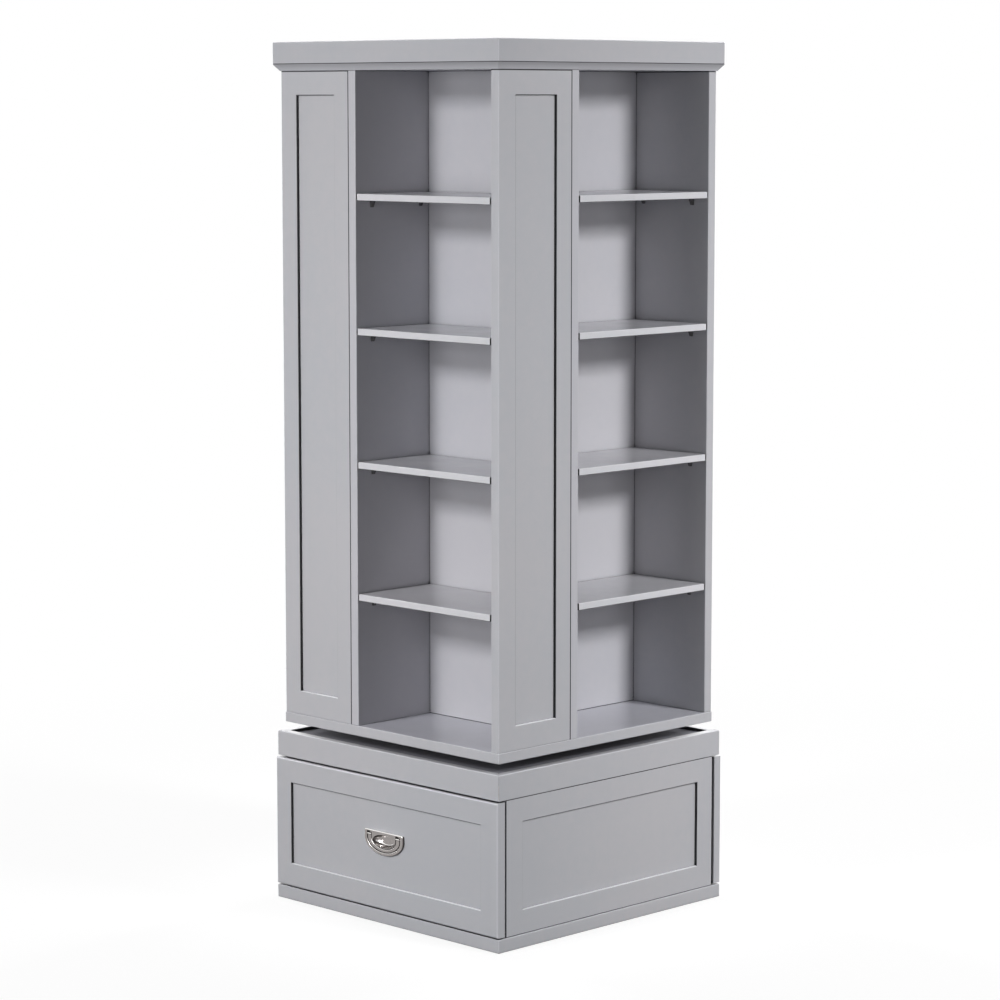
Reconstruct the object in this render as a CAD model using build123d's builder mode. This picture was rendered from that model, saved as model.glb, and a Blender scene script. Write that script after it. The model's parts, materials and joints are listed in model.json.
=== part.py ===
from build123d import *
import os

# Revolving bookcase: a square tower of open shelves that turns on a base with two drawers.
# Millimetres. The origin is on the floor under the middle, +Z is up, the front face is at -Y.
# Tower, panels and drawers are drawn once, as seen at the front, and turned to their own side.

# Heights of the stack, from the floor up
plinth_height = 23.5
base_side_height = 235.0
fascia_height = 44.5
turning_gap = 16.0
tower_bottom_thickness = 18.0
tower_side_height = 1130.5
top_board_thickness = 11.5
cap_thickness = 38.0

# Plan: the base sets the width, and the rest stands out from it or in from it
base_width = 556.0
plinth_overhang = 2.0
tower_inset = 10.5
tower_bottom_overhang = 1.0
cap_overhang = 10.5
bevel_lip = 1.5

# Boards
board_thickness = 18.0
panel_width = 172.0
edge_ease = 1.3
slab_ease = 1.8
cut_overrun = 5.0

# Sunk fields of the corner panels, base sides and drawer faces
field_depth = 5.0
field_ease = 1.2
panel_outer_stile = 40.0
panel_inner_stile = 36.0
panel_rail = 42.0
base_stile = 40.0
base_rail = 42.0

# Shelves and the pins they lie on
shelf_thickness = 12.0
shelf_pitch = 230.0
first_shelf_height = 232.0
shelf_setback = 0.3
shelf_end_gap = 2.2
shelf_back_gap = 1.0
shelves_per_side = 4
pin_front_inset = 37.0
pin_back_inset = 20.0
pin_radius = 2.5
pin_stem = 9.0
pin_reach = 7.0
pin_drop = 12.0
pin_tab = 2.0
pin_foot = 2.2
pin_width = 6.0
pin_clearance = 0.1

# Base carcass
fascia_thickness = 16.0
top_sink = 5.5
mitre_gap = 0.2
side_setback = 0.5
drawer_end_gap = 4.2

# Drawers
drawer_face_overhang = 1.0
drawer_face_proud = 4.5
drawer_face_thickness = 18.0
drawer_bottom_gap = 2.4
drawer_top_gap = 2.5
drawer_face_round = 3.5
drawer_lift = 14.0
drawer_head_room = 41.0
drawer_back_gap = 15.5
drawer_board = 12.0
drawer_bottom_thickness = 5.0
drawer_bottom_rise = 12.0
groove_depth = 5.0
groove_clearance = 0.2

# Drawer rails and slide bars
slide_space = 12.7
rail_wall = 1.2
rail_inner_height = 18.0
rail_back_gap = 16.5
slide_back_inset = 6.0
slide_plate = 1.5
slide_plate_height = 30.0
slide_clearance = 0.4
slide_rise = 62.0
rail_lip = 2.0

# Turntable
riser_margin = 10.0
plate_inner_radius = 95.0
plate_outer_radius = 150.0
plate_thickness = 2.5
plate_gap = 4.5
race_depth = 0.75
ball_count = 24
ball_clearance = 0.3
cage_width = 14.0
cage_thickness = 1.5
cage_clearance = 0.1
plate_screw_count = 6
plate_screw_inset = 9.0

# Countersunk screws of the turntable and round-headed screws of the pulls
screw_radius = 2.0
screw_head_radius = 3.8
screw_head_height = 1.8
screw_length = 10.0
screw_clearance = 0.1
pull_screw_radius = 1.5
pull_screw_head_radius = 3.5
pull_screw_head_height = 2.2
pull_screw_grip = 2.6

# Pull plate: a flat-topped D whose lower edge is half an ellipse
pull_lift = 1.0
pull_half_width = 48.6
pull_drop = 29.9
pull_side = 12.5
pull_corner = 4.0
pull_rim = 7.1
pull_rim_foot = 5.4
pull_top_strip = 3.2
pull_thickness = 4.4
pull_edge = 2.2
pull_inner_edge = 0.8
pull_screw_drop = 3.0

# Bail that lies in the plate, and its pivots
bail_width = 8.8
bail_foot = 4.8
bail_thickness = 2.4
bail_edge = 1.0
bail_gap = 1.6
land_gap = 1.0
pocket_head = 3.2
barrel_radius = 1.9
barrel_clearance = 0.3
pivot_radius = 1.1
pivot_length = 2.0
pivot_clearance = 0.05
groove_floor = 0.8

# Dished bowl behind the bail, from its mouth in
bowl_side_land = 3.4
bowl_foot_land = 1.2
bowl_shift = 4.6
bowl_depth = 10.2
bowl_wall = 1.2
bowl_waist_share = 0.93
bowl_waist_depth_share = 0.45
bowl_end_share = 0.6
bowl_clearance = 0.4

# Widths that follow from the base's
plinth_width = base_width + 2 * plinth_overhang
tower_width = base_width - 2 * tower_inset
cap_width = tower_width + 2 * cap_overhang
drawer_face_width = base_width + 2 * drawer_face_overhang
drawer_face_spread = base_width + 2 * drawer_face_proud

# Levels that follow from the heights
base_side_top = plinth_height + base_side_height
base_top = base_side_top + fascia_height
top_panel_level = base_top - top_sink
tower_bottom_level = base_top + turning_gap
plate_level = tower_bottom_level - 2 * plate_thickness - plate_gap
tower_floor = tower_bottom_level + tower_bottom_thickness
tower_side_top = tower_floor + tower_side_height
cap_level = tower_side_top + top_board_thickness

# Turntable sizes that follow from its plates
riser_radius = plate_outer_radius + riser_margin
race_radius = (plate_inner_radius + plate_outer_radius) / 2
race_level = (plate_level + tower_bottom_level) / 2
ball_radius = plate_gap / 2 + race_depth
lower_screw_radius = plate_inner_radius + plate_screw_inset
upper_screw_radius = plate_outer_radius - plate_screw_inset

# Places that follow from the plan, in the frame of one face
tower_edge = -tower_width / 2
divider_place = tower_edge + panel_width
compartment_left = divider_place + board_thickness
compartment_right = -tower_edge - board_thickness
compartment_back = tower_edge + panel_width
divider_end = -tower_edge - panel_width - board_thickness
base_edge = -base_width / 2
side_face = base_edge + side_setback
drawer_face_front = -drawer_face_spread / 2
drawer_face_back = drawer_face_front + drawer_face_thickness
side_end = drawer_face_back + drawer_end_gap
carcass_inner = side_face + board_thickness
base_divider_front = -board_thickness / 2
drawer_box_edge = carcass_inner + slide_space
drawer_box_bottom = plinth_height + drawer_lift
drawer_box_top = base_side_top - drawer_head_room
drawer_box_back = base_divider_front - drawer_back_gap
drawer_face_low = plinth_height + drawer_bottom_gap
drawer_face_high = base_side_top - drawer_top_gap
slide_level = drawer_box_bottom + slide_rise
rail_end = base_divider_front - rail_back_gap
slide_end = rail_end - slide_back_inset

# Pull sizes that follow from its plate, from the centre of the ellipse of its D
pull_level = (drawer_face_low + drawer_face_high + pull_drop - pull_side) / 2 + pull_lift
pull_screw_spread = pull_half_width - pull_rim / 2
bail_half_width = pull_half_width - pull_rim - bail_gap
bail_drop = pull_drop - pull_rim_foot - bail_gap
land_half_width = bail_half_width - bail_width - land_gap
land_drop = bail_drop - bail_foot - land_gap
bowl_half_width = land_half_width - bowl_side_land
bowl_half_height = land_drop - bowl_foot_land - bowl_shift
pocket_top = pull_side - pull_top_strip
pivot_rise = pocket_top - pocket_head - barrel_radius
pivot_out = groove_floor + barrel_clearance + barrel_radius

side_names = ("front", "right", "back", "left")
quarter_turn = 90
half_turn = 180


def turned(quarter):
    """Plane of one side: what is drawn at its -Y looks out of that side."""
    return Plane.XY.rotated((0, 0, quarter * quarter_turn))


def outward(plane):
    """Axis that points out of the side."""
    return Axis(plane.origin, -plane.y_dir)


def block(low, high, mode=Mode.ADD):
    """Straight block between two corners, in the frame of the part's plane."""
    size = Vector(high) - Vector(low)
    with Locations((Vector(low) + Vector(high)) * 0.5):
        Box(size.X, size.Y, size.Z, mode=mode)


def board(plane, low, high, ease=edge_ease):
    """Board with all its edges eased."""
    with BuildPart(plane) as piece:
        block(low, high)
        fillet(piece.edges(), ease)
    return piece


def sink_field(piece, plane, low, high):
    """Sink the field of a board between two corners and ease the edge of its mouth."""
    block(low, high, mode=Mode.SUBTRACT)
    mouth = piece.faces().sort_by(outward(plane))[-1].inner_wires()[0]
    fillet(mouth.edges(), field_ease)


def keep(piece, name):
    """Label a finished piece and write it out."""
    piece.part.label = name
    export_step(piece.part, f"parts/{name}.step")


def shelf_underside(number):
    """Level of a shelf's underside, where its pins hold it; the lowest shelf is number 0."""
    return tower_floor + first_shelf_height + number * shelf_pitch - shelf_thickness


def pin_places():
    """Distance from the front face and level of each pin along one wall of a compartment."""
    insets = (pin_front_inset, panel_width - pin_back_inset)
    levels = [shelf_underside(number) - pin_drop / 2 for number in range(shelves_per_side)]
    return [(inset, level) for inset in insets for level in levels]


def pin_holes(spots):
    """Blind holes for the pin stems, each centred on the wall that it enters."""
    with Locations(*spots):
        Cylinder(
            pin_radius + pin_clearance,
            2 * (pin_stem + pin_clearance),
            mode=Mode.SUBTRACT,
        )


# Tower
def corner_panel(quarter):
    """Corner board with a sunk field outside and pin holes inside."""
    inner_face = tower_edge + board_thickness
    low = (tower_edge, tower_edge, tower_floor)
    high = (tower_edge + panel_width, inner_face, tower_side_top)
    plane = turned(quarter)
    with BuildPart(plane) as piece:
        block(low, high)
        fillet(piece.edges(), edge_ease)
        sink_field(
            piece, plane,
            (tower_edge + panel_outer_stile, tower_edge - cut_overrun, tower_floor + panel_rail),
            (high[0] - panel_inner_stile, tower_edge + field_depth, tower_side_top - panel_rail),
        )
        pin_holes([
            Location((tower_edge + inset, inner_face, level), (quarter_turn, 0, 0))
            for inset, level in pin_places()
        ])
    return piece


def divider(quarter):
    """Board that closes a compartment on the left and backs the one round the corner."""
    low = (divider_place, tower_edge, tower_floor)
    high = (compartment_left, divider_end, tower_side_top)
    with BuildPart(turned(quarter)) as piece:
        block(low, high)
        fillet(piece.edges(), edge_ease)
        pin_holes([
            Location((compartment_left, tower_edge + inset, level), (0, quarter_turn, 0))
            for inset, level in pin_places()
        ])
    return piece


def shelf(quarter, number):
    """Loose shelf that lies on four pins."""
    underside = shelf_underside(number)
    return board(
        turned(quarter),
        (compartment_left + shelf_end_gap, tower_edge + shelf_setback, underside),
        (compartment_right - shelf_end_gap, compartment_back - shelf_back_gap, underside + shelf_thickness),
    )


def shelf_pins():
    """All the shelf pins: a round stem in the wall and a tapered bracket under the shelf."""
    with BuildPart() as pin:
        with BuildSketch(Plane.XZ.offset(-pin_width / 2)):
            with BuildLine():
                Polyline(
                    (0, 0), (pin_reach, 0), (pin_reach, -pin_tab),
                    (pin_foot, -pin_drop), (0, -pin_drop), close=True,
                )
            make_face()
        extrude(amount=pin_width)
        with Locations(Location((0, 0, -pin_drop / 2), (0, -quarter_turn, 0))):
            Cylinder(pin_radius, pin_stem, align=(Align.CENTER, Align.CENTER, Align.MIN))
    spots = []
    for inset, level in pin_places():
        underside = level + pin_drop / 2
        spots.append(Location((compartment_left, tower_edge + inset, underside)))
        spots.append(Location((compartment_right, tower_edge + inset, underside), (0, 0, half_turn)))
    with BuildPart(*[turned(quarter) for quarter in range(len(side_names))]) as pins:
        with Locations(*spots):
            add(pin.part)
    return pins


def tower_bottom():
    """Board under the tower, with blind holes for the screws of the upper bearing plate."""
    width = tower_width + 2 * tower_bottom_overhang
    with BuildPart(upper_screw_plane) as piece:
        with BuildSketch(Plane.XY.offset(tower_bottom_level)):
            Rectangle(width, width)
        extrude(amount=tower_bottom_thickness)
        fillet(piece.edges(), edge_ease)
        with PolarLocations(upper_screw_radius, plate_screw_count):
            countersunk_screw(screw_clearance, Mode.SUBTRACT)
    return piece


def top_board():
    """Thin board over the compartments, bevelled outward to the cap."""
    foot = tower_width + 2 * bevel_lip
    with BuildPart() as piece:
        with BuildSketch(Plane.XY.offset(tower_side_top)):
            Rectangle(foot, foot)
        with BuildSketch(Plane.XY.offset(cap_level)):
            Rectangle(cap_width, cap_width)
        loft()
    return piece


def cap_board():
    """Thick cap over the tower."""
    reach = cap_width / 2
    return board(
        Plane.XY, (-reach, -reach, cap_level), (reach, reach, cap_level + cap_thickness), slab_ease
    )


# Turntable
upper_screw_plane = Plane((0, 0, tower_bottom_level - plate_thickness), (1, 0, 0), (0, 0, -1))
lower_screw_plane = Plane((0, 0, plate_level + plate_thickness))


def countersunk_screw(clearance, mode):
    """Screw, or with a clearance the hole for it, from its flush head down."""
    sunk = (Align.CENTER, Align.CENTER, Align.MAX)
    Cone(screw_radius + clearance, screw_head_radius + clearance, screw_head_height, align=sunk, mode=mode)
    Cylinder(screw_radius + clearance, screw_length + clearance, align=sunk, mode=mode)


def turntable_screws(plane, radius):
    """Ring of screws that hold one bearing plate."""
    with BuildPart(plane) as piece:
        with PolarLocations(radius, plate_screw_count):
            countersunk_screw(0, Mode.ADD)
    return piece


def bearing_plate(plane, face, screw_circle):
    """Ring with half of the ball race in its inner face and countersunk screw holes."""
    with BuildPart(plane) as piece:
        with BuildSketch(face):
            Circle(plate_outer_radius)
            Circle(plate_inner_radius, mode=Mode.SUBTRACT)
        extrude(amount=-plate_thickness)
        with BuildSketch(Plane.XZ):
            with Locations((race_radius, race_level)):
                Circle(ball_radius + ball_clearance)
        revolve(axis=Axis.Z, mode=Mode.SUBTRACT)
        with PolarLocations(screw_circle, plate_screw_count):
            countersunk_screw(screw_clearance, Mode.SUBTRACT)
    return piece


def turntable_riser():
    """Disc that lifts the bearing, with blind holes for the screws of the lower plate."""
    with BuildPart(lower_screw_plane) as piece:
        with BuildSketch(Plane.XY.offset(top_panel_level)):
            Circle(riser_radius)
        extrude(amount=plate_level - top_panel_level)
        with PolarLocations(lower_screw_radius, plate_screw_count):
            countersunk_screw(screw_clearance, Mode.SUBTRACT)
    return piece


def ball_cage():
    """Flat ring that keeps the balls apart."""
    with BuildPart() as piece:
        with BuildSketch(Plane.XY.offset(race_level - cage_thickness / 2)):
            Circle(race_radius + cage_width / 2)
            Circle(race_radius - cage_width / 2, mode=Mode.SUBTRACT)
            with PolarLocations(race_radius, ball_count):
                Circle(ball_radius + cage_clearance, mode=Mode.SUBTRACT)
        extrude(amount=cage_thickness)
    return piece


def bearing_balls():
    """The balls, evenly round the race."""
    with BuildPart(Plane.XY.offset(race_level)) as piece:
        with PolarLocations(race_radius, ball_count):
            Sphere(ball_radius)
    return piece


# Base
def plinth_board():
    """Bottom board of the base, which stands on the floor."""
    reach = plinth_width / 2
    return board(Plane.XY, (-reach, -reach, 0), (reach, reach, plinth_height), slab_ease)


def base_side(quarter):
    """Fixed side of the base, with a sunk field."""
    plane = turned(quarter)
    with BuildPart(plane) as piece:
        block((side_end, side_face, plinth_height), (-side_end, carcass_inner, base_side_top))
        fillet(piece.edges(), edge_ease)
        sink_field(
            piece, plane,
            (side_end + base_stile, side_face - cut_overrun, plinth_height + base_rail),
            (-side_end - base_stile, side_face + field_depth, base_side_top - base_rail),
        )
    return piece


def base_divider():
    """Board across the middle that parts the drawers and carries the top panel."""
    top = top_panel_level - board_thickness
    return board(
        Plane.XY,
        (carcass_inner, base_divider_front, plinth_height),
        (-carcass_inner, -base_divider_front, top),
    )


def base_fascia():
    """Frame of four mitred boards round the top of the base."""
    inner = base_edge + fascia_thickness
    planes = [turned(quarter) for quarter in range(len(side_names))]
    with BuildPart() as piece:
        for plane in planes:
            with BuildSketch(plane.offset(base_side_top)):
                with BuildLine():
                    Polyline(
                        (base_edge + mitre_gap, base_edge), (-base_edge - mitre_gap, base_edge),
                        (-inner - mitre_gap, inner), (inner + mitre_gap, inner), close=True,
                    )
                make_face()
        extrude(amount=fascia_height)
        for face in piece.faces().sort_by(Axis.Z)[-len(planes):]:
            fillet(face.edges(), slab_ease)
        for face in piece.faces().sort_by(Axis.Z)[:len(planes)]:
            fillet(face.edges(), edge_ease)
    return piece


def base_top_panel():
    """Panel let into the fascia frame, under the turntable."""
    reach = -base_edge - fascia_thickness
    low = (-reach, -reach, top_panel_level - board_thickness)
    return board(Plane.XY, low, (reach, reach, top_panel_level))


def drawer_rails():
    """Channels on the base sides, two for each drawer, in which the slide bars run."""
    half = rail_inner_height / 2
    mouth = drawer_box_edge - slide_plate - rail_lip
    with BuildPart(turned(0), turned(2)) as piece:
        for side in (-1, 1):
            walls = (
                (carcass_inner, carcass_inner + rail_wall, -half - rail_wall, half + rail_wall),
                (carcass_inner, mouth, half, half + rail_wall),
                (carcass_inner, mouth, -half - rail_wall, -half),
            )
            for first, last, low, high in walls:
                near, far = sorted((side * first, side * last))
                block((near, side_end, slide_level + low), (far, rail_end, slide_level + high))
    return piece


# Drawers
def drawer_face(quarter):
    """Face board with rounded edges, a sunk field and a pocket for the pull's bowl."""
    plane = turned(quarter)
    reach = drawer_face_width / 2
    field_face = drawer_face_front + field_depth
    seat = pull_plane(quarter)
    with BuildPart(plane) as piece:
        block((-reach, drawer_face_front, drawer_face_low), (reach, drawer_face_back, drawer_face_high))
        fillet(piece.faces().sort_by(outward(plane))[-1].edges(), drawer_face_round)
        sink_field(
            piece, plane,
            (-reach + base_stile, drawer_face_front - cut_overrun, drawer_face_low + base_rail),
            (reach - base_stile, field_face, drawer_face_high - base_rail),
        )
        with BuildSketch(seat):
            with Locations((0, -bowl_shift)):
                Ellipse(
                    bowl_half_width + bowl_wall + bowl_clearance,
                    bowl_half_height + bowl_wall + bowl_clearance,
                )
        extrude(amount=pull_thickness - bowl_depth - bowl_wall - bowl_clearance, mode=Mode.SUBTRACT)
        with BuildSketch(seat):
            with Locations(*pull_screw_spots()):
                Circle(pull_screw_radius + screw_clearance)
        extrude(amount=-drawer_face_thickness, mode=Mode.SUBTRACT)
    return piece


def drawer_side(quarter, side):
    """Side of the drawer box with a groove for the bottom; side is -1 on the left and 1 on the right."""
    inner = drawer_box_edge + drawer_board
    groove_low = drawer_box_bottom + drawer_bottom_rise - groove_clearance
    groove_high = drawer_box_bottom + drawer_bottom_rise + drawer_bottom_thickness + groove_clearance
    groove_end = inner - groove_depth - groove_clearance
    near, far = sorted((-side * drawer_box_edge, -side * inner))
    cut_near, cut_far = sorted((-side * groove_end, -side * (inner + cut_overrun)))
    with BuildPart(turned(quarter)) as piece:
        block((near, drawer_face_back, drawer_box_bottom), (far, drawer_box_back, drawer_box_top))
        fillet(piece.edges(), edge_ease)
        block(
            (cut_near, drawer_face_back - cut_overrun, groove_low),
            (cut_far, drawer_box_back + cut_overrun, groove_high),
            mode=Mode.SUBTRACT,
        )
    return piece


def drawer_bottom(quarter):
    """Thin bottom that slides into the grooves of the sides, under the back."""
    edge = drawer_box_edge + drawer_board - groove_depth
    low = drawer_box_bottom + drawer_bottom_rise
    with BuildPart(turned(quarter)) as piece:
        block((edge, drawer_face_back, low), (-edge, drawer_box_back, low + drawer_bottom_thickness))
    return piece


def drawer_back(quarter):
    """Back of the drawer box, between the sides and on the bottom."""
    edge = drawer_box_edge + drawer_board
    low = drawer_box_bottom + drawer_bottom_rise + drawer_bottom_thickness
    return board(
        turned(quarter),
        (edge, drawer_box_back - drawer_board, low),
        (-edge, drawer_box_back, drawer_box_top),
    )


def drawer_slides(quarter):
    """Slide bars on both sides of the drawer box: a plate with a rib that runs in the rail."""
    half_plate = slide_plate_height / 2
    half_rib = rail_inner_height / 2 - slide_clearance
    plate_edge = drawer_box_edge - slide_plate
    rib_edge = carcass_inner + rail_wall + slide_clearance
    with BuildPart(turned(quarter)) as piece:
        for side in (-1, 1):
            plate = sorted((side * plate_edge, side * drawer_box_edge))
            rib = sorted((side * rib_edge, side * plate_edge))
            block(
                (plate[0], side_end, slide_level - half_plate),
                (plate[1], slide_end, slide_level + half_plate),
            )
            block(
                (rib[0], side_end, slide_level - half_rib),
                (rib[1], slide_end, slide_level + half_rib),
            )
    return piece


# Pulls
def pull_plane(quarter):
    """Plane of a pull on the sunk field, at the centre of the ellipse of its D."""
    plane = turned(quarter)
    centre = (0, drawer_face_front + field_depth, pull_level)
    return Plane(plane.from_local_coords(centre), plane.x_dir, -plane.y_dir)


def pull_screw_spots():
    """Places of the two screws behind the plate's rim."""
    return [(side * pull_screw_spread, -pull_screw_drop) for side in (-1, 1)]


def d_shape(half_width, drop, top):
    """Flat-topped D: straight sides from the top line down to half an ellipse."""
    with BuildSketch() as shape:
        with BuildLine():
            Polyline((-half_width, 0), (-half_width, top), (half_width, top), (half_width, 0))
            EllipticalCenterArc((0, 0), half_width, drop, half_turn, arc_size=half_turn)
        make_face()
    return shape.sketch


def bowl_sections(seat, mouth, growth, deeper):
    """Ellipses of the bowl from its mouth to its bottom, each grown by a wall."""
    sizes = ((1, 0), (bowl_waist_share, bowl_waist_depth_share), (bowl_end_share, 1))
    sections = []
    for share, depth_share in sizes:
        with BuildSketch(seat.offset(mouth - depth_share * bowl_depth - deeper * depth_share)) as section:
            with Locations((0, -bowl_shift)):
                Ellipse(share * bowl_half_width + growth, share * bowl_half_height + growth)
        sections.append(section.sketch)
    return sections


def pull_plate(quarter):
    """Plate with a D-shaped rim, a groove for the bail and a dished bowl."""
    seat = pull_plane(quarter)
    outline = d_shape(pull_half_width, pull_drop, pull_side)
    groove = d_shape(bail_half_width + bail_gap, bail_drop + bail_gap, pocket_top)
    land = d_shape(land_half_width, land_drop, pocket_top)
    out = Axis(seat.origin, seat.z_dir)
    cup = bowl_sections(seat, pull_thickness, bowl_wall, bowl_wall)
    dish = bowl_sections(seat, pull_thickness, 0, 0)
    with BuildPart(seat) as piece:
        with BuildSketch(seat):
            add(outline)
        extrude(amount=pull_thickness)
        upright = piece.edges().filter_by(out)
        fillet(upright.sort_by(Axis(seat.origin, seat.y_dir))[-2:], pull_corner)
        fillet(piece.faces().sort_by(out)[-1].edges(), pull_edge)
        loft(cup)
        with BuildSketch(seat.offset(groove_floor)):
            add(groove)
            add(land, mode=Mode.SUBTRACT)
        extrude(amount=pull_thickness, mode=Mode.SUBTRACT)
        rim = piece.faces().sort_by(out)[-1]
        fillet(rim.inner_wires().edges(), pull_inner_edge)
        loft(dish, mode=Mode.SUBTRACT)
        for side in (-1, 1):
            with Locations(Location((side * bail_half_width, pivot_rise, pivot_out), (0, quarter_turn, 0))):
                Cylinder(
                    pivot_radius + pivot_clearance,
                    2 * (pivot_length + pivot_clearance),
                    mode=Mode.SUBTRACT,
                )
        with Locations(*pull_screw_spots()):
            Cylinder(
                pull_screw_radius + screw_clearance,
                2 * (pull_screw_grip + screw_clearance),
                mode=Mode.SUBTRACT,
            )
    return piece


def pull_screws(quarter):
    """Two screws from inside the drawer through its face into the plate."""
    seat = pull_plane(quarter)
    grip = drawer_face_thickness - field_depth
    raised = (Align.CENTER, Align.CENTER, Align.MAX)
    with BuildPart(seat) as piece:
        with Locations(*[(x, y, pull_screw_grip) for x, y in pull_screw_spots()]):
            Cylinder(pull_screw_radius, pull_screw_grip + grip, align=raised)
        with Locations(*[(x, y, -grip) for x, y in pull_screw_spots()]):
            Cylinder(pull_screw_head_radius, pull_screw_head_height, align=raised)
    return piece


def bail(quarter):
    """Flat D-shaped handle with a round barrel and a pivot at the top of each arm."""
    seat = pull_plane(quarter)
    outer = d_shape(bail_half_width, bail_drop, pivot_rise)
    inner = d_shape(bail_half_width - bail_width, bail_drop - bail_foot, pivot_rise)
    with BuildPart(seat) as piece:
        with BuildSketch(seat.offset(pivot_out - bail_thickness / 2)):
            add(outer)
            add(inner, mode=Mode.SUBTRACT)
        extrude(amount=bail_thickness)
        fillet(piece.faces().sort_by(Axis(seat.origin, seat.z_dir))[-1].edges(), bail_edge)
        for side in (-1, 1):
            arm_middle = side * (bail_half_width - bail_width / 2)
            with Locations(Location((arm_middle, pivot_rise, pivot_out), (0, quarter_turn, 0))):
                Cylinder(barrel_radius, bail_width)
            pivot_middle = side * (bail_half_width + pivot_length / 2)
            with Locations(Location((pivot_middle, pivot_rise, pivot_out), (0, quarter_turn, 0))):
                Cylinder(pivot_radius, pivot_length)
    return piece


os.makedirs("parts", exist_ok=True)

keep(plinth_board(), "plinth_board")
keep(base_side(1), "base_side_right")
keep(base_side(3), "base_side_left")
keep(base_divider(), "base_divider")
keep(base_fascia(), "base_fascia")
keep(base_top_panel(), "base_top_panel")
keep(drawer_rails(), "drawer_rails")

keep(turntable_riser(), "turntable_riser")
lower_face = Plane.XY.offset(plate_level + plate_thickness)
upper_face = Plane.XY.offset(tower_bottom_level)
keep(bearing_plate(lower_screw_plane, lower_face, lower_screw_radius), "bearing_lower_plate")
keep(turntable_screws(lower_screw_plane, lower_screw_radius), "bearing_lower_screws")
keep(ball_cage(), "ball_cage")
keep(bearing_balls(), "bearing_balls")
keep(bearing_plate(upper_screw_plane, upper_face, upper_screw_radius), "bearing_upper_plate")
keep(turntable_screws(upper_screw_plane, upper_screw_radius), "bearing_upper_screws")

keep(tower_bottom(), "tower_bottom")
for quarter, side_name in enumerate(side_names):
    keep(corner_panel(quarter), f"panel_{side_name}")
    keep(divider(quarter), f"divider_{side_name}")
    for number in range(shelves_per_side):
        keep(shelf(quarter, number), f"shelf_{side_name}_{number + 1}")
keep(shelf_pins(), "shelf_pins")
keep(top_board(), "top_board")
keep(cap_board(), "cap_board")

for quarter, drawer_name in ((0, "front_drawer"), (2, "back_drawer")):
    keep(drawer_face(quarter), f"{drawer_name}_face")
    keep(drawer_side(quarter, -1), f"{drawer_name}_left")
    keep(drawer_side(quarter, 1), f"{drawer_name}_right")
    keep(drawer_back(quarter), f"{drawer_name}_back")
    keep(drawer_bottom(quarter), f"{drawer_name}_bottom")
    keep(drawer_slides(quarter), f"{drawer_name}_slides")
    keep(pull_plate(quarter), f"{drawer_name}_pull_plate")
    keep(pull_screws(quarter), f"{drawer_name}_pull_screws")
    keep(bail(quarter), f"{drawer_name}_bail")
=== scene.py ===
import functools
import json
import math

import bmesh
import bpy
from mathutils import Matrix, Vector

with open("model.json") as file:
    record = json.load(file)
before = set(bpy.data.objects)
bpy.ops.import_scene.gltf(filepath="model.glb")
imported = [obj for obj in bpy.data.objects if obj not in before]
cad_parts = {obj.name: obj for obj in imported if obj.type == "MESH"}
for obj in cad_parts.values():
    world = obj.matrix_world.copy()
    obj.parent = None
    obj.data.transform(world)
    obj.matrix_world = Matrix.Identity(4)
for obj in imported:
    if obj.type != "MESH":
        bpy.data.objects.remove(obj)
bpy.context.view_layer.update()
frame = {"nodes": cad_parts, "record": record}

# Looks of the revolving bookcase: sprayed grey boards, polished nickel pulls, bare wooden drawer boxes and
# a zinc-plated turntable, on a pale floor with soft boxes all round. Metres, in the frame of the solids.

MM = 0.001
SIDES = ("front", "right", "back", "left")
DRAWERS = ("front_drawer", "back_drawer")
ACROSS, ALONG, UP = 0, 1, 2


class Wire:
    """Output of a node. Arithmetic on it adds Math nodes to its recipe."""

    def __init__(self, recipe, socket):
        self.recipe = recipe
        self.socket = socket

    def math(self, operation, *terms):
        return self.recipe.node("Math", {"operation": operation}, dict(enumerate(terms)))

    def __add__(self, other):
        return self.math("ADD", self, other)

    def __sub__(self, other):
        return self.math("SUBTRACT", self, other)

    def __rsub__(self, other):
        return self.math("SUBTRACT", other, self)

    def __mul__(self, other):
        return self.math("MULTIPLY", self, other)

    def __abs__(self):
        return self.math("ABSOLUTE", self)

    __radd__ = __add__
    __rmul__ = __mul__


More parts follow.
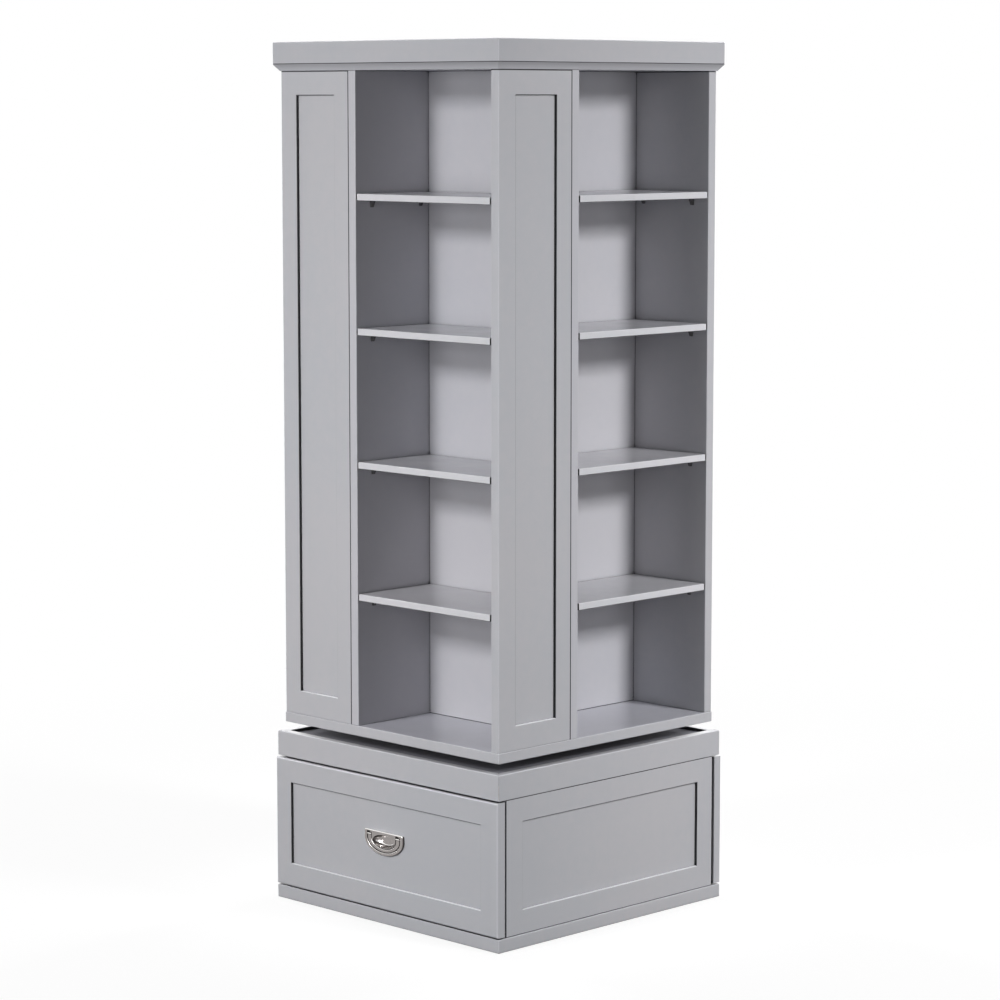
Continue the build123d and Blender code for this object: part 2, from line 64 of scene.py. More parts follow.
class Recipe:
    """Node tree of one finish, written from empty."""

    def __init__(self, tree):
        self.tree = tree
        tree.nodes.clear()

    def node(self, kind, settings=None, sockets=None, out=None):
        """Add a node: its type, then its settings, then the values or links of its sockets."""
        made = self.tree.nodes.new(f"ShaderNode{kind}")
        for name, value in (settings or {}).items():
            setattr(made, name, value)
        for name, value in (sockets or {}).items():
            if isinstance(name, int):
                socket = made.inputs[name]
            else:
                socket = next(s for s in made.inputs if s.name == name and s.enabled)
            if isinstance(value, Wire):
                self.tree.links.new(value.socket, socket)
            else:
                socket.default_value = value
        ends = [s for s in made.outputs if s.enabled and (out is None or s.name == out)]
        return Wire(self, ends[0]) if ends else None

    def larger(self, first, second):
        return self.node("Math", {"operation": "MAXIMUM"}, {0: first, 1: second})

    def smaller(self, first, second):
        return self.node("Math", {"operation": "MINIMUM"}, {0: first, 1: second})

    def step(self, value, low, high, to_low=0.0, to_high=1.0):
        """Smooth step of a value from one level to another."""
        return self.node(
            "MapRange",
            {"interpolation_type": "SMOOTHSTEP"},
            {"Value": value, "From Min": low, "From Max": high, "To Min": to_low, "To Max": to_high},
        )

    def fall(self, value, low, high):
        """Smooth step from 1 down to 0."""
        return self.step(value, low, high, 1.0, 0.0)

    def mix(self, share, first, second):
        """Colour between two colours."""
        return self.node(
            "Mix", {"data_type": "RGBA"}, {"Factor": share, "A": first, "B": second}, out="Result"
        )

    def place(self):
        """Place on the object at rest, which stays on it when it moves."""
        return self.node("TexCoord", out="Object")

    def parts_of(self, vector):
        """The three numbers of a vector."""
        made = self.node("SeparateXYZ", sockets={"Vector": vector})
        return [Wire(self, socket) for socket in made.socket.node.outputs]

    def stretched(self, scale, place=None):
        """Place with each direction scaled by its own number."""
        place = place or self.place()
        return self.node("VectorMath", {"operation": "MULTIPLY"}, {0: place, 1: scale})

    def noise(self, scale, detail=2.0, roughness=0.5, place=None, distortion=0.0):
        """Even noise from 0 to 1 over the object."""
        sockets = {"Scale": scale, "Detail": detail, "Roughness": roughness, "Distortion": distortion}
        return self.node("TexNoise", sockets={"Vector": place or self.place(), **sockets})

    def bump(self, height, depth, strength=1.0):
        """Normal bent by a height that runs over a depth in metres."""
        return self.node("Bump", sockets={"Height": height, "Distance": depth, "Strength": strength})

    def surface(self, shader):
        self.node("OutputMaterial", sockets={"Surface": shader})


def shade(*levels):
    """Colour from the usual 0 to 255 screen levels."""
    shares = [level / 255 for level in levels]
    return (*[s / 12.92 if s <= 0.04045 else ((s + 0.055) / 1.055) ** 2.4 for s in shares], 1.0)


def finish(name):
    """Empty material of a name, and the recipe that fills it."""
    material = bpy.data.materials.new(name)
    material.use_nodes = True
    return material, Recipe(material.node_tree)


# Levels between which a mask runs. A facing is the part of the surface's normal along a direction, from
# -1 to 1, and a share runs from 0 to 1 over the box of a board.
ROUNDED = (0.004, 0.2)
FROM_BELOW = (-0.4, 0.4)
NOT_BELOW = (-0.12, -0.02)
CLOSED = (0.18, 0.56)
LEAVES_FLAT = (0.06, 0.25)
NEARS_FLAT = (0.93, 0.98)
FIELD_HALF_WIDTH = (0.45, 0.46)
FIELD_HALF_HEIGHT = (0.47, 0.48)
FIELD_WALL = (0.2, 0.5)
FIELD_LID = (-0.3, -0.08)
FIELD_LEDGE = (0.15, 0.45)
SHELF_END = (0.1, 0.4)
SHELF_UNDER = (-0.5, -0.2)
SHELF_BOTTOM = (-0.99, -0.96)
RIM_STARTS = (0.02, 0.15)
RIM_ENDS = (0.985, 0.998)
STRAIGHT_UP = (0.9, 0.98)
DOWNWARD = (-0.6, -0.2)
CREVICE_SAMPLES = 6


def eased_edges(recipe):
    """1 on the rounded edges of straight boards that look up, half aside, and 0 below and on their flats,
    where a highlight is painted.
    """
    across, along, up = recipe.parts_of(recipe.node("TexCoord", out="Normal"))
    squareness = recipe.larger(recipe.larger(abs(across), abs(along)), abs(up))
    above = recipe.step(up, *FROM_BELOW) * recipe.step(up, *NOT_BELOW)
    return recipe.step(1 - squareness, *ROUNDED) * above


def crevice_shade_and_tarnish(recipe, reach):
    """1 deep in the joints and gaps within a reach and 0 in the open and on corners; paint darkens there as
    painted shade, nickel as tarnish.
    """
    settings = {"samples": CREVICE_SAMPLES}
    return recipe.fall(recipe.node("AmbientOcclusion", settings, {"Distance": reach}, out="AO"), *CLOSED)


PAINT = shade(177, 176, 180)
PAINT_COOL = shade(172, 173, 178)
# Painted highlights on eased edges and ledges, and painted shade in joints, gaps and sunk fields
PAINT_EDGE_HIGHLIGHT = shade(200, 200, 206)
PAINT_LEDGE_HIGHLIGHT = shade(231, 232, 236)
PAINT_SHADE = shade(40, 40, 43)
PAINT_GAP_SHADE = shade(6, 6, 7)
PAINT_CREVICE_SHADE = shade(30, 30, 32)
DIVIDER_PAINT = shade(181, 180, 185)
DIVIDER_COOL = shade(177, 177, 183)
PAINTED_FLOOR_TOP_LIGHT = shade(199, 199, 207)
SHELF_PAINT = shade(198, 197, 201)
SHELF_COOL = shade(193, 194, 198)
SHELF_EDGE_HIGHLIGHT = shade(217, 217, 222)
BEVEL_PAINT = shade(184, 183, 189)
BEVEL_COOL = shade(180, 181, 187)
SUNK_SHADE = shade(126, 126, 132)
SUNK_SHADE_COOL = shade(118, 118, 125)
PAINT_REACH = 9.0 * MM
# Noises: how many to the metre, their detail and their roughness
PAINT_CLOUD = (2.2, 3.0)
PAINT_MOTTLE = (55.0, 3.0, 0.6)
PAINT_PEEL = (420.0, 2.0, 0.45)
PAINT_GRIT = (2600.0, 1.0, 0.5)
PAINT_SHEEN = (9.0, 4.0, 0.6)
CLOUD_SHARE = 0.7
MOTTLE_SHARE = 0.3
PAINT_UNEVEN = (0.35, 0.65)
SHEEN_UNEVEN = (0.3, 0.7)
GRIT_IN_SHEEN = 0.05
GRIT_IN_PEEL = 0.15
PEEL_DEPTH = 0.05 * MM
PEEL_STRENGTH = 0.35
EDGE_HIGHLIGHT_SHARE = 0.8
LACQUER_IOR = 1.45
SATIN_SHINE = 0.3
GLOSS_SHINE = 0.4
DULL_SHINE = 0.1
# Roughness between which each sheen varies
SATIN = (0.27, 0.3)
GLOSS = (0.15, 0.2)
DULL = (0.72, 0.8)
FASCIA_INSIDE = (262.3 * MM, 263.2 * MM)
FOOT_JOINT = (0.0018, 0.0036)
HEAD_JOINT = (0.00132, 0.0022)
BEVEL_SHADE = (0.05, 0.36)


def facings(recipe):
    """Which way the surface looks, and how far along the board's box it lies, each in three numbers."""
    normal = recipe.parts_of(recipe.node("TexCoord", out="Normal"))
    share = recipe.parts_of(recipe.node("TexCoord", out="Generated"))
    return normal, share


def field_height(recipe, share):
    """1 between the top and the foot of a board, and 0 near both."""
    return recipe.fall(abs(share[UP] - 0.5), *FIELD_HALF_HEIGHT)


def field_shade(recipe, width, seam=0, joints=(), head=False):
    """Painted shade: 1 on the walls and lid of a board's sunk field and on its edges in a joint, and 0
    elsewhere.

    The seam is 1 or -1 where the board's far or near edge across its width meets another board, and joints
    has a 1 if its top does and a -1 if its foot does. The head adds a thin painted shade line at the top of a
    tower panel, where its joint lies open."""
    normal, share = facings(recipe)
    inside = recipe.fall(abs(share[width] - 0.5), *FIELD_HALF_WIDTH)
    between = field_height(recipe, share)
    walls = recipe.step(abs(normal[width]), *FIELD_WALL)
    dark = recipe.larger(walls * inside, recipe.fall(normal[UP], *FIELD_LID) * between)
    if seam:
        dark = recipe.larger(dark, recipe.step(normal[width] * seam, *LEAVES_FLAT))
    for way in joints:
        dark = recipe.larger(dark, recipe.step(normal[UP] * way, *LEAVES_FLAT) * (1 - between))
    if head:
        dark = recipe.larger(dark, recipe.fall(1 - share[UP], *HEAD_JOINT))
    return dark


def ledge_highlight(recipe):
    """1 on the ledge at the foot of a board's sunk field, where a highlight is painted, and 0 elsewhere."""
    normal, share = facings(recipe)
    return recipe.step(normal[UP], *FIELD_LEDGE) * field_height(recipe, share)


def shelf_shade(recipe, width):
    """Painted shade: 1 on the ends of a shelf and on the eased edge under its front, and 0 elsewhere."""
    normal, _ = facings(recipe)
    under = recipe.fall(normal[UP], *SHELF_UNDER) * recipe.step(normal[UP], *SHELF_BOTTOM)
    return recipe.larger(recipe.step(abs(normal[width]), *SHELF_END), under)


def gap_edge_shade(recipe, width):
    """Painted shade: 1 on the eased edges at both ends of a board, which lie in the gaps beside it, and 0
    elsewhere.
    """
    normal, share = facings(recipe)
    aside = abs(normal[width])
    at_ends = recipe.step(abs(share[width] - 0.5), *FIELD_HALF_WIDTH)
    return recipe.step(aside, *LEAVES_FLAT) * recipe.fall(aside, *NEARS_FLAT) * at_ends


def divider_seam_shade(recipe, width, way):
    """Painted shade: 1 on the eased edges of a divider that lie against its corner panel, and 0 elsewhere."""
    aside = facings(recipe)[0][width] * way
    return recipe.step(aside, *LEAVES_FLAT) * recipe.fall(aside, *NEARS_FLAT)


def filled_foot(recipe):
    """1 at the foot of an upright board of the tower, whose joint is filled and painted over so no crevice
    shade is painted, and 0 above.
    """
    return recipe.fall(facings(recipe)[1][UP], *FOOT_JOINT)


def filled_rim(recipe):
    """1 on the eased upper edge of a board, whose joint is filled and painted over so no crevice shade is
    painted, and 0 elsewhere.
    """
    up = facings(recipe)[0][UP]
    return recipe.step(up, *RIM_STARTS) * recipe.fall(up, *RIM_ENDS)


def bevel_shade(recipe):
    """Painted shadow of the cap's overhang on the bevel below it, darker towards the top."""
    return recipe.step(facings(recipe)[1][UP], 0.0, 1.0, *BEVEL_SHADE)


def looks_up(recipe):
    """1 on what looks straight up and 0 elsewhere; the tower floor takes a lighter tone there as painted
    light.
    """
    return recipe.step(facings(recipe)[0][UP], *STRAIGHT_UP)


def fascia_inside_shade(recipe):
    """Painted shade: 1 on the walls of the base's top frame that look in on the sunk panel, which stay in the
    shade.
    """
    across, along, _ = recipe.parts_of(recipe.place())
    return recipe.fall(recipe.larger(abs(across), abs(along)), *FASCIA_INSIDE)


def shade_on_underside(recipe):
    """Painted shade: 1 on what looks down and 0 elsewhere."""
    return recipe.fall(facings(recipe)[0][UP], *DOWNWARD)


def sprayed_paint(
    name, tones=(PAINT, PAINT_COOL, PAINT_EDGE_HIGHLIGHT), straight=True, shaded=None, light=None, filled=None,
    gap_shade=None, gloss=SATIN, shine=SATIN_SHINE,
):
    """Satin paint sprayed on fibreboard: faint mottling and orange peel, with a painted highlight on its
    eased edges and painted shade in its joints.

    Shaded is a mask of painted shade in a dark tone, the other shade mask paints the eased edges in the gaps
    beside a board near-black, and filled is a mask of filled joints that get no painted shade. Light is a
    mask and the lighter tone painted there as painted light."""
    material, recipe = finish(name)
    body, cool, edge = tones
    cloud = recipe.noise(*PAINT_CLOUD)
    mottle = recipe.noise(*PAINT_MOTTLE)
    uneven = recipe.step(cloud * CLOUD_SHARE + mottle * MOTTLE_SHARE, *PAINT_UNEVEN)
    colour = recipe.mix(uneven, body, cool)
    if straight:
        # Painted highlight: the eased edges that look up or aside take the lighter edge tone.
        colour = recipe.mix(eased_edges(recipe) * EDGE_HIGHLIGHT_SHARE, colour, edge)
    if light is not None:
        # Painted light: the masked part takes a lighter tone, the ledge highlight or the lit top of the tower
        # floor.
        part, tone = light
        colour = recipe.mix(part(recipe), colour, tone)
    if shaded is not None:
        # Painted shade: the masked parts take the dark shade tone.
        colour = recipe.mix(shaded(recipe), colour, PAINT_SHADE)
    if gap_shade is not None:
        # Painted shade: the eased edges in the gaps beside a board take a near-black tone.
        colour = recipe.mix(gap_shade(recipe), colour, PAINT_GAP_SHADE)
    # Painted shade: deep joints and gaps darken towards a near-black tone, except in filled joints.
    crevice_shade = crevice_shade_and_tarnish(recipe, PAINT_REACH)
    if filled is not None:
        crevice_shade = crevice_shade * (1 - filled(recipe))
    colour = recipe.mix(crevice_shade, colour, PAINT_CREVICE_SHADE)
    peel = recipe.noise(*PAINT_PEEL)
    grit = recipe.noise(*PAINT_GRIT)
    sheen = recipe.step(recipe.noise(*PAINT_SHEEN), *SHEEN_UNEVEN, *gloss)
    shader = recipe.node("BsdfPrincipled", sockets={
        "Base Color": colour,
        "Roughness": sheen + grit * GRIT_IN_SHEEN,
        "IOR": LACQUER_IOR,
        "Specular IOR Level": shine,
        "Normal": recipe.bump(peel + grit * GRIT_IN_PEEL, PEEL_DEPTH, PEEL_STRENGTH),
    })
    recipe.surface(shader)
    return material


NICKEL = shade(154, 149, 147)
NICKEL_DULL = shade(139, 134, 133)
NICKEL_HIGHLIGHT = shade(250, 248, 246)
NICKEL_SHADE = shade(84, 79, 78)
NICKEL_TARNISH = shade(24, 22, 22)
NICKEL_REACH = 3.2 * MM
NICKEL_HAZE = (130.0, 4.0, 0.6)
NICKEL_HAIRS = (900.0, 2.0, 0.6)
HAIR_STRETCH = (1.0, 0.12, 0.12)
HAIR_DEPTH = 0.006 * MM
HAIR_STRENGTH = 0.3
HAIRS_IN_SHINE = 0.04
HAZE_DULLS = (0.35, 0.7)
HAZE_SHARE = 0.5
HAZE_ROUGHENS = (0.3, 0.75)
NICKEL_ROUGHNESS = (0.1, 0.16)
TURNED_ASIDE = 0.7
UPWARD_HIGHLIGHT = (0.1, 0.45)
AWAY_SHADE = (0.25, 0.65)


def polished_nickel():
    """Warm nickel: hazed flats with faint hairlines, a painted highlight on what looks up, painted shade on
    what looks aside or down, and tarnish in the grooves.
    """
    material, recipe = finish("polished_nickel")
    haze = recipe.noise(*NICKEL_HAZE)
    hairs = recipe.noise(*NICKEL_HAIRS, recipe.stretched(HAIR_STRETCH))
    colour = recipe.mix(recipe.step(haze, *HAZE_DULLS) * HAZE_SHARE, NICKEL, NICKEL_DULL)
    aside, _, up = facings(recipe)[0]
    # Painted highlight: what looks up takes a bright tone.
    colour = recipe.mix(recipe.step(up, *UPWARD_HIGHLIGHT), colour, NICKEL_HIGHLIGHT)
    # Painted shade: what looks aside or down takes a dark tone.
    turned_away = recipe.larger(abs(aside) * TURNED_ASIDE, 0 - up)
    colour = recipe.mix(recipe.step(turned_away, *AWAY_SHADE), colour, NICKEL_SHADE)
    colour = recipe.mix(crevice_shade_and_tarnish(recipe, NICKEL_REACH), colour, NICKEL_TARNISH)
    shader = recipe.node("BsdfPrincipled", sockets={
        "Base Color": colour,
        "Metallic": 1.0,
        "Roughness": recipe.step(haze, *HAZE_ROUGHENS, *NICKEL_ROUGHNESS) + hairs * HAIRS_IN_SHINE,
        "Normal": recipe.bump(hairs, HAIR_DEPTH, HAIR_STRENGTH),
    })
    recipe.surface(shader)
    return material


ZINC = shade(188, 190, 192)
ZINC_DARK = shade(150, 153, 157)
ZINC_SPANGLE = 260.0
ZINC_STREAKS = (700.0, 3.0, 0.6)
SPANGLE_DARKENS = 0.45
STREAKS_DARKEN = 0.4
ZINC_ROUGHNESS = 0.26
SPANGLE_ROUGHENS = 0.1
STREAKS_ROUGHEN = 0.12
STREAK_DEPTH = 0.01 * MM
STREAK_STRENGTH = 0.4
ROLLED = (1.0, 1.0, 1.0)
DRAWN_ALONG = (1.0, 0.05, 1.0)


def zinc_steel(name, drawn=ROLLED):
    """Zinc-plated steel: crystal spangle, drawn streaks along one direction and uneven shine."""
    material, recipe = finish(name)
    sockets = {"Vector": recipe.place(), "Scale": ZINC_SPANGLE}
    spangle = recipe.node("TexVoronoi", {"feature": "F1"}, sockets, out="Color")
    grain, _, _ = recipe.parts_of(spangle)
    streaks = recipe.noise(*ZINC_STREAKS, recipe.stretched(drawn))
    colour = recipe.mix(grain * SPANGLE_DARKENS + streaks * STREAKS_DARKEN, ZINC, ZINC_DARK)
    shader = recipe.node("BsdfPrincipled", sockets={
        "Base Color": colour,
        "Metallic": 1.0,
        "Roughness": grain * SPANGLE_ROUGHENS + streaks * STREAKS_ROUGHEN + ZINC_ROUGHNESS,
        "Normal": recipe.bump(streaks, STREAK_DEPTH, STREAK_STRENGTH),
    })
    recipe.surface(shader)
    return material


WOOD_PALE = shade(214, 186, 146)
WOOD_DARK = shade(178, 140, 96)
WOOD_PORE = shade(140, 102, 64)
WOOD_FIGURE = (14.0, 3.0, 0.5)
WOOD_WAVER = 0.6
WOOD_FIBRES = (620.0, 3.0, 0.6)
WOOD_PORES = (1500.0, 2.0, 0.5)
RINGS_TO_FIGURE = 60.0
GRAIN_STRETCH = 0.06
FIGURE_SHIFT = (1.0, 1.7, 0.6)
PORE_LEVELS = (0.62, 0.72)
RINGS_DARKEN = 0.55
FIBRES_DARKEN = 0.35
PORES_DARKEN = 0.35
WOOD_ROUGHNESS = 0.42
FIBRES_ROUGHEN = 0.15
PORE_SINKS = 0.6
RING_RISES = 0.3
FIBRE_DEPTH = 0.08 * MM
FIBRE_STRENGTH = 0.4


def bare_wood(name, grain, shift):
    """Clear-lacquered light wood with growth rings, fibres and pores that run along one direction.

    The grain is the direction that the board's fibres run in, and the shift moves the figure from board to
    board."""
    material, recipe = finish(name)
    along = [1.0, 1.0, 1.0]
    along[grain] = GRAIN_STRETCH
    aside = [shift * part for part in FIGURE_SHIFT]
    moved = recipe.node("VectorMath", {"operation": "ADD"}, {0: recipe.place(), 1: aside})
    lengthwise = recipe.stretched(along, moved)
    figure = recipe.noise(*WOOD_FIGURE, lengthwise, WOOD_WAVER)
    rings = recipe.node("Math", {"operation": "SINE"}, {0: figure * RINGS_TO_FIGURE}) * 0.5 + 0.5
    fibres = recipe.noise(*WOOD_FIBRES, lengthwise)
    pores = recipe.step(recipe.noise(*WOOD_PORES, lengthwise), *PORE_LEVELS)
    height = fibres - pores * PORE_SINKS + rings * RING_RISES
    colour = recipe.mix(rings * RINGS_DARKEN + fibres * FIBRES_DARKEN, WOOD_PALE, WOOD_DARK)
    colour = recipe.mix(pores * PORES_DARKEN, colour, WOOD_PORE)
    shader = recipe.node("BsdfPrincipled", sockets={
        "Base Color": colour,
        "Roughness": fibres * FIBRES_ROUGHEN + WOOD_ROUGHNESS,
        "IOR": LACQUER_IOR,
        "Normal": recipe.bump(height, FIBRE_DEPTH, FIBRE_STRENGTH),
    })
    recipe.surface(shader)
    return material


NYLON = shade(62, 61, 61)
NYLON_PALE = shade(84, 83, 83)
NYLON_TEXTURE = (2400.0, 2.0, 0.6)
TEXTURE_PALES = 0.5
NYLON_ROUGHNESS = 0.4
TEXTURE_ROUGHENS = 0.2
TEXTURE_DEPTH = 0.02 * MM
TEXTURE_STRENGTH = 0.5


def moulded_nylon():
    """Dark moulded nylon with a fine spark-eroded texture."""
    material, recipe = finish("moulded_nylon")
    texture = recipe.noise(*NYLON_TEXTURE)
    shader = recipe.node("BsdfPrincipled", sockets={
        "Base Color": recipe.mix(texture * TEXTURE_PALES, NYLON, NYLON_PALE),
        "Roughness": texture * TEXTURE_ROUGHENS + NYLON_ROUGHNESS,
        "Normal": recipe.bump(texture, TEXTURE_DEPTH, TEXTURE_STRENGTH),
    })
    recipe.surface(shader)
    return material


def dress(material, *nodes):
    """Give CAD pieces their finish."""
    for node in nodes:
        mesh = frame["nodes"][node].data
        mesh.materials.clear()
        mesh.materials.append(material)


slot_nodes = {}
for subpart in frame["record"]["subparts"]:
    slot_nodes.setdefault(subpart["material_slot"], []).append(subpart["node"])

dress(sprayed_paint("grey_paint"), *slot_nodes["grey_paint"])
for width, sides in ((ACROSS, ("front", "back")), (ALONG, ("right", "left"))):
    starts = tuple(f"shelf_{side}" for side in sides)
    shelf_paint = sprayed_paint(
        f"pale_shelf_paint_{sides[0]}",
        (SHELF_PAINT, SHELF_COOL, SHELF_EDGE_HIGHLIGHT),
        shaded=functools.partial(shelf_shade, width=width),
        gloss=GLOSS,
        shine=GLOSS_SHINE,
    )
    dress(shelf_paint, *[node for node in slot_nodes["grey_paint"] if node.startswith(starts)])
# Painted light: the tower floor's up-facing top takes a lighter tone than its edges.
floor_paint = sprayed_paint(
    "grey_paint_floor", light=(looks_up, PAINTED_FLOOR_TOP_LIGHT), filled=filled_rim, gloss=GLOSS, shine=GLOSS_SHINE
)
dress(floor_paint, "tower_bottom")
# Painted shade on the cap's underside.
dress(sprayed_paint("grey_paint_cap", shaded=shade_on_underside, gloss=DULL, shine=DULL_SHINE), "cap_board")
bevel_tones = (BEVEL_PAINT, BEVEL_COOL, BEVEL_PAINT)
dress(sprayed_paint("grey_paint_bevel", bevel_tones, straight=False, shaded=bevel_shade), "top_board")
# Painted shade: the sunk panel under the tower is painted a much darker grey than the other boards.
sunk_shade_tones = (SUNK_SHADE, SUNK_SHADE_COOL, SUNK_SHADE)
dress(sprayed_paint("grey_paint_sunk_shade", sunk_shade_tones, gloss=DULL, shine=DULL_SHINE), "base_top_panel")
dress(sprayed_paint("grey_paint_fascia", shaded=fascia_inside_shade), "base_fascia")
face_paint = sprayed_paint(
    "grey_paint_drawer_faces",
    shaded=functools.partial(field_shade, width=ACROSS),
    light=(ledge_highlight, PAINT_LEDGE_HIGHLIGHT),
)
dress(face_paint, *[f"{drawer}_face" for drawer in DRAWERS])
side_paint = sprayed_paint(
    "grey_paint_base_sides",
    shaded=functools.partial(field_shade, width=ALONG, joints=(1, -1)),
    light=(ledge_highlight, PAINT_LEDGE_HIGHLIGHT),
    gap_shade=functools.partial(gap_edge_shade, width=ALONG),
)
dress(side_paint, "base_side_right", "base_side_left")
# The seam of each side's panel and divider: across which direction it lies and which way the panel meets it
SEAMS = {"front": (ACROSS, 1), "right": (ALONG, 1), "back": (ACROSS, -1), "left": (ALONG, -1)}
for side, (width, way) in SEAMS.items():
    panel_paint = sprayed_paint(
        f"grey_paint_panel_{side}",
        shaded=functools.partial(field_shade, width=width, seam=way, head=True),
        light=(ledge_highlight, PAINT_LEDGE_HIGHLIGHT),
        filled=filled_foot,
    )
    dress(panel_paint, f"panel_{side}")
    divider_paint = sprayed_paint(
        f"grey_paint_divider_{side}",
        (DIVIDER_PAINT, DIVIDER_COOL, PAINT_EDGE_HIGHLIGHT),
        shaded=functools.partial(divider_seam_shade, width=width, way=-way),
        filled=filled_foot,
    )
    dress(divider_paint, f"divider_{side}")
dress(polished_nickel(), *slot_nodes["nickel"])
dress(zinc_steel("zinc_steel"), *slot_nodes["steel"])
dress(zinc_steel("zinc_rail", DRAWN_ALONG), "drawer_rails", *[f"{drawer}_slides" for drawer in DRAWERS])
dress(moulded_nylon(), *slot_nodes["dark_plastic"])

GRAINS = {"left": ALONG, "right": ALONG, "back": ACROSS, "bottom": ACROSS}
BOARD_SHIFT = 0.37
DRAWER_SHIFT = 1.9
RISER_SHIFT = 5.3
for number, drawer in enumerate(DRAWERS):
    for turn, (board, grain) in enumerate(GRAINS.items()):
        name = f"{drawer}_{board}"
        dress(bare_wood(f"bare_wood_{name}", grain, BOARD_SHIFT * turn + DRAWER_SHIFT * number), name)
dress(bare_wood("bare_wood_riser", ACROSS, RISER_SHIFT), "turntable_riser")


# Stage
FLOOR_REACH = 14.0
FLOOR_DROP = 0.2 * MM
FLOOR_WHITE_FROM = 0.6
FLOOR_WHITE_TO = 2.4
FLOOR_GREY = 0.14
FLOOR_LIFT = 0.84
FLOOR_SIDES = 96
WHITE = (1.0, 1.0, 1.0, 1.0)
LAMP_DISTANCE = 4.3
KEY_HEIGHT = 2.7
KEY_SIZE = (0.9, 0.75)
KEY_SPREAD = 66.0
KEY_AIM = 0.5
FILL_HEIGHT = 1.1
FILL_SIZE = (2.4, 1.6)
FILL_AIM = 0.9
CORNER_SIZE = (2.0, 2.0)
CORNER_HEIGHT = 1.6
CORNER_POWER = 34.0
TOP_SIZE = (0.8, 0.8)
TOP_HEIGHT = 2.9
TOP_POWER = 1.0
TOP_SPREAD = 14.0
# Each side's lamps: how far to the right they stand, where the key looks, and both powers
SIDE_LAMPS = {
    "front": (-0.38, 0.0, 16.2, 66.0),
    "right": (0.85, 0.7, 25.2, 33.0),
    "back": (0.2, 0.0, 14.5, 42.0),
    "left": (-0.2, 0.0, 14.5, 42.0),
}


def seen_directly(recipe):
    """1 for rays from the camera, mirrors and glass, which see the white backdrop, and 0 for the rest."""
    path = recipe.node("LightPath").socket.node.outputs
    camera, glossy, through = [
        Wire(recipe, path[name]) for name in ("Is Camera Ray", "Is Glossy Ray", "Is Transmission Ray")
    ]
    return recipe.smaller(camera + glossy + through, 1.0)


def white_floor():
    """Pale floor that keeps the bookcase's shadow and runs out into white."""
    material, recipe = finish("white_floor")
    across, along, _ = recipe.parts_of(recipe.place())
    distance = recipe.node("Math", {"operation": "SQRT"}, {0: across * across + along * along})
    away = recipe.step(distance, FLOOR_WHITE_FROM, FLOOR_WHITE_TO)
    lit = recipe.node("BsdfDiffuse", sockets={"Color": (FLOOR_GREY, FLOOR_GREY, FLOOR_GREY, 1.0)})
    seen = seen_directly(recipe)
    lift = recipe.node("Emission", sockets={"Color": WHITE, "Strength": seen * FLOOR_LIFT})
    near = recipe.node("AddShader", sockets={0: lit, 1: lift})
    white = recipe.node("Emission", sockets={"Color": WHITE, "Strength": 1.0})
    recipe.surface(recipe.node("MixShader", sockets={0: away * seen, 1: near, 2: white}))
    mesh = bpy.data.meshes.new("floor")
    shape = bmesh.new()
    bmesh.ops.create_circle(shape, cap_ends=True, segments=FLOOR_SIDES, radius=FLOOR_REACH)
    shape.to_mesh(mesh)
    shape.free()
    floor = bpy.data.objects.new("floor", mesh)
    floor.location.z = -FLOOR_DROP
    mesh.materials.append(material)
    bpy.context.scene.collection.objects.link(floor)


def white_room():
    """World that is white to look at and lights nothing, so that the lamps alone do."""
    world = bpy.data.worlds.new("white_room")
    bpy.context.scene.world = world
    world.use_nodes = True
    recipe = Recipe(world.node_tree)
    back = recipe.node("Background", sockets={"Color": WHITE, "Strength": seen_directly(recipe)})
    recipe.node("OutputWorld", sockets={"Surface": back})


def soft_box(name, place, aim, size, power, spread=180.0):
    """Rectangular soft light that looks at a point; a grid on it narrows its spread."""
    lamp = bpy.data.lights.new(name, "AREA")
    lamp.shape = "RECTANGLE"
    lamp.size, lamp.size_y = size
    lamp.energy = power
    lamp.spread = math.radians(spread)
    holder = bpy.data.objects.new(name, lamp)
    holder.location = place
    holder.rotation_euler = (Vector(aim) - Vector(place)).to_track_quat("-Z", "Y").to_euler()
    bpy.context.scene.collection.objects.link(holder)


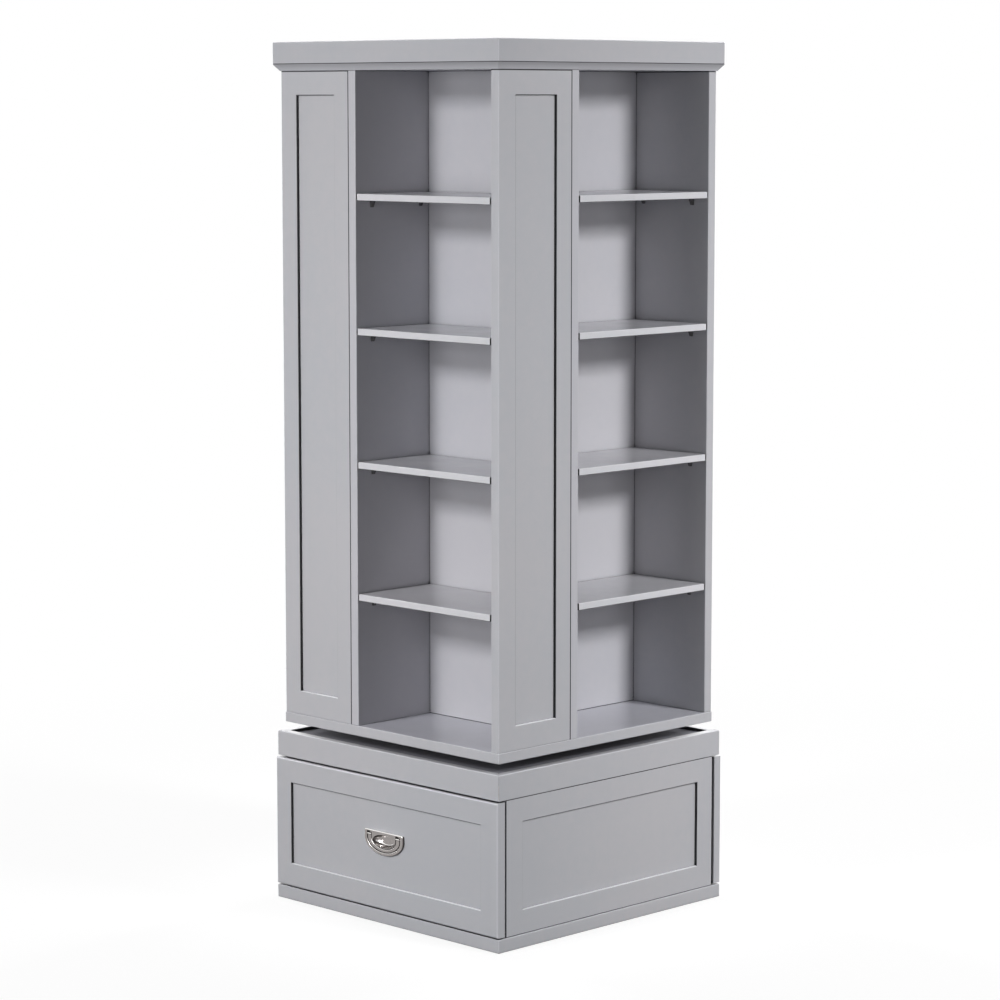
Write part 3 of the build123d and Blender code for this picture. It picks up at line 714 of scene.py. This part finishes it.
def round_about(quarter, aside, height):
    """Point at the lamps' distance from a side, some way to that side's right."""
    turn = math.radians(90 * quarter)
    out = Vector((math.sin(turn), -math.cos(turn), 0.0))
    right = Vector((math.cos(turn), math.sin(turn), 0.0))
    return out * LAMP_DISTANCE + right * aside + Vector((0.0, 0.0, height))


white_floor()
white_room()
for quarter, side in enumerate(SIDES):
    aside, aim_aside, key_power, fill_power = SIDE_LAMPS[side]
    right = round_about(quarter + 1, 0.0, 0.0).normalized()
    key_aim = right * aim_aside + Vector((0.0, 0.0, KEY_AIM))
    soft_box(f"{side}_key", round_about(quarter, aside, KEY_HEIGHT), key_aim, KEY_SIZE, key_power, KEY_SPREAD)
    fill_aim = (0.0, 0.0, FILL_AIM)
    soft_box(f"{side}_fill", round_about(quarter, aside, FILL_HEIGHT), fill_aim, FILL_SIZE, fill_power)
for name, way in (("near_corner", 1), ("far_corner", -1)):
    place = (way * LAMP_DISTANCE, -way * LAMP_DISTANCE, CORNER_HEIGHT)
    soft_box(name, place, (0.0, 0.0, FILL_AIM), CORNER_SIZE, CORNER_POWER)
soft_box("top_key", (0.0, 0.0, TOP_HEIGHT), (0.0, 0.0, 0.0), TOP_SIZE, TOP_POWER, TOP_SPREAD)


# Camera of the photograph
PHOTO_SIDE = 1000
SENSOR = 36.0
FOCAL_PIXELS = 3216.0
CAMERA_DISTANCE = 5.6387
CAMERA_HEIGHT = 1.4134
CAMERA_TURN = math.radians(45)
CAMERA_PAN = -0.0004
CAMERA_TILT = 0.12302
FAR_CLIP = 100.0


def photo_camera():
    """Camera at the photograph's viewing angle."""
    lens = bpy.data.cameras.new("photo_camera")
    lens.sensor_width = SENSOR
    lens.lens = FOCAL_PIXELS * SENSOR / PHOTO_SIDE
    lens.clip_end = FAR_CLIP
    holder = bpy.data.objects.new("photo_camera", lens)
    out = Vector((math.sin(CAMERA_TURN), -math.cos(CAMERA_TURN), 0.0))
    holder.location = out * CAMERA_DISTANCE + Vector((0.0, 0.0, CAMERA_HEIGHT))
    holder.rotation_euler = (math.radians(90) - CAMERA_TILT, 0.0, CAMERA_TURN + CAMERA_PAN)
    bpy.context.scene.collection.objects.link(holder)
    bpy.context.scene.camera = holder


photo_camera()
bpy.context.scene.view_settings.view_transform = "Standard"
